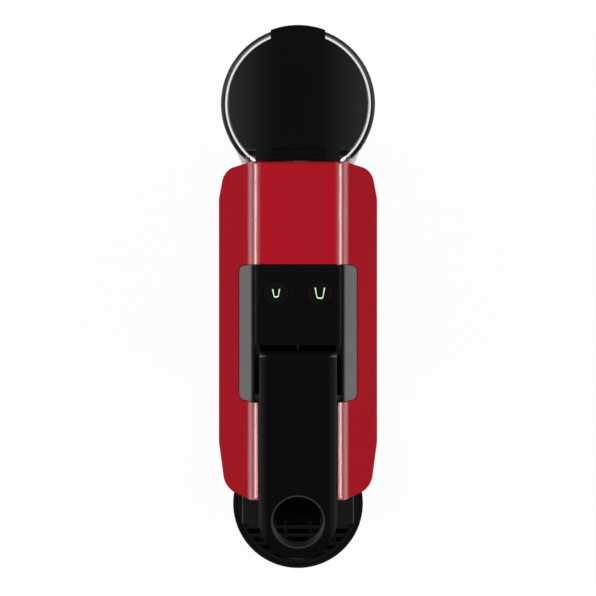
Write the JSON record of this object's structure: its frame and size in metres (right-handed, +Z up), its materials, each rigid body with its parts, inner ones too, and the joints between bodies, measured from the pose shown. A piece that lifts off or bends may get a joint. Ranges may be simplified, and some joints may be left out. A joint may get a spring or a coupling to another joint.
{
  "type": "pod coffee machine",
  "caption": "Slim pod coffee machine with a faceted cover, a top lever with a finger hole, round buttons, a clear rear water tank and a round drip tray.",
  "frame": {"origin": "centre of the bounding box, on the surface it stands on", "axes": "+Z up, -Y towards the user at the front, +Y towards the water tank"},
  "size_m": [0.0842, 0.3091, 0.204],
  "materials": {
    "red_cover": "satin moulded",
    "panel_black": "semi-gloss",
    "lever_black": "semi-gloss",
    "nose_black": "fine texture",
    "base_black": "fine texture",
    "tray_black": "fine texture",
    "button_black": "semi-gloss",
    "clear_tank": "clear copolyester",
    "lid_black": "semi-gloss",
    "grey_nylon": "glass-filled nylon",
    "cream_nylon": "natural nylon",
    "steel": "ground",
    "dark_rubber": "matt",
    "seal_silicone": "matt",
    "hose_silicone": "translucent",
    "cast_alloy": "die cast",
    "coil_resin": "potted",
    "circuit_green": "solder mask",
    "light_white": "diffuser"
  },
  "bodies": {
    "machine": {"base_chassis": "base_black", "base_plate": "base_black", "base_screws": "steel", "board_lights": "light_white", "board_switches": "steel", "brew_frame_left": "grey_nylon", "brew_frame_right": "grey_nylon", "coffee_spout": "nose_black", "control_board": "circuit_green", "control_panel": "panel_black", "cord_gland": "dark_rubber", "dock_seal": "seal_silicone", "dock_socket": "cream_nylon", "extraction_holder": "cream_nylon", "flow_meter": "cream_nylon", "frame_screws": "steel", "main_cover": "red_cover", "outlet_head": "nose_black", "pressure_pipe": "steel", "pump_body": "cream_nylon", "pump_coil": "coil_resin", "pump_dampers": "dark_rubber", "pump_hose": "hose_silicone", "pump_spring": "steel", "pyramid_plate": "steel", "rear_cover": "base_black", "rubber_feet": "dark_rubber", "slip_gland": "cream_nylon", "tank_hose": "hose_silicone", "terminal_block": "cream_nylon", "thermoblock": "cast_alloy", "thermostats": "steel"},
    "lever": {"lever_handle": "lever_black", "lever_shaft": "steel", "lever_cranks": "steel"},
    "cage": {"capsule_cage": "grey_nylon", "piercing_blades": "steel", "cage_seal": "seal_silicone", "injection_tube": "steel"},
    "small_button": {"small_cup_button": "button_black"},
    "large_button": {"large_cup_button": "button_black"},
    "tank": {"water_tank": "clear_tank", "tank_valve": "cream_nylon", "valve_spring": "steel"},
    "lid": {"tank_lid": "lid_black"},
    "valve": {"valve_plunger": "cream_nylon"},
    "drip_module": {"drip_tray": "tray_black", "tray_pads": "dark_rubber", "capsule_container": "tray_black"},
    "grid": {"drip_grid": "tray_black"},
    "piston": {"pump_piston": "steel"},
    "rotor": {"flow_rotor": "cream_nylon"}
  },
  "joints": [
    {"name": "lever_swing", "type": "hinge", "parent": "machine", "child": "lever", "pos_m": [0, -0.03, 0.179], "axis": [-1, 0, 0], "range_deg": [0, 84]},
    {"name": "cage_slide", "type": "slide", "parent": "machine", "child": "cage", "axis": [0, 1, 0], "range_m": [0, 0.0281]},
    {"name": "small_button_press", "type": "slide", "parent": "machine", "child": "small_button", "axis": [0, 0, -1], "range_m": [0, 0.001], "stiffness_N_per_m": 500},
    {"name": "large_button_press", "type": "slide", "parent": "machine", "child": "large_button", "axis": [0, 0, -1], "range_m": [0, 0.001], "stiffness_N_per_m": 500},
    {"name": "tank_lift", "type": "slide", "parent": "machine", "child": "tank", "axis": [0, 0, 1], "range_m": [0, 0.1]},
    {"name": "lid_hinge", "type": "hinge", "parent": "tank", "child": "lid", "pos_m": [0, 0.089, 0.1952], "axis": [1, 0, 0], "range_deg": [0, 80]},
    {"name": "valve_lift", "type": "slide", "parent": "tank", "child": "valve", "axis": [0, 0, 1], "range_m": [0, 0.001], "stiffness_N_per_m": 300, "deforming": ["valve_spring"]},
    {"name": "drip_module_slide", "type": "slide", "parent": "machine", "child": "drip_module", "axis": [0, -1, 0], "range_m": [0, 0.12]},
    {"name": "grid_lift", "type": "slide", "parent": "drip_module", "child": "grid", "axis": [0, 0, 1], "range_m": [0, 0.06]},
    {"name": "pump_stroke", "type": "slide", "parent": "machine", "child": "piston", "axis": [0, 0, 1], "range_m": [-0.0015, 0.0015], "stiffness_N_per_m": 2000, "deforming": ["pump_spring"]},
    {"name": "rotor_spin", "type": "hinge", "parent": "machine", "child": "rotor", "pos_m": [-0.02, 0.052, 0.033], "axis": [0, 0, 1], "continuous": true}
  ],
  "couplings": [
    {"joint": "cage_slide", "follows": "lever_swing", "m_per_rad": 0.019099}
  ]
}
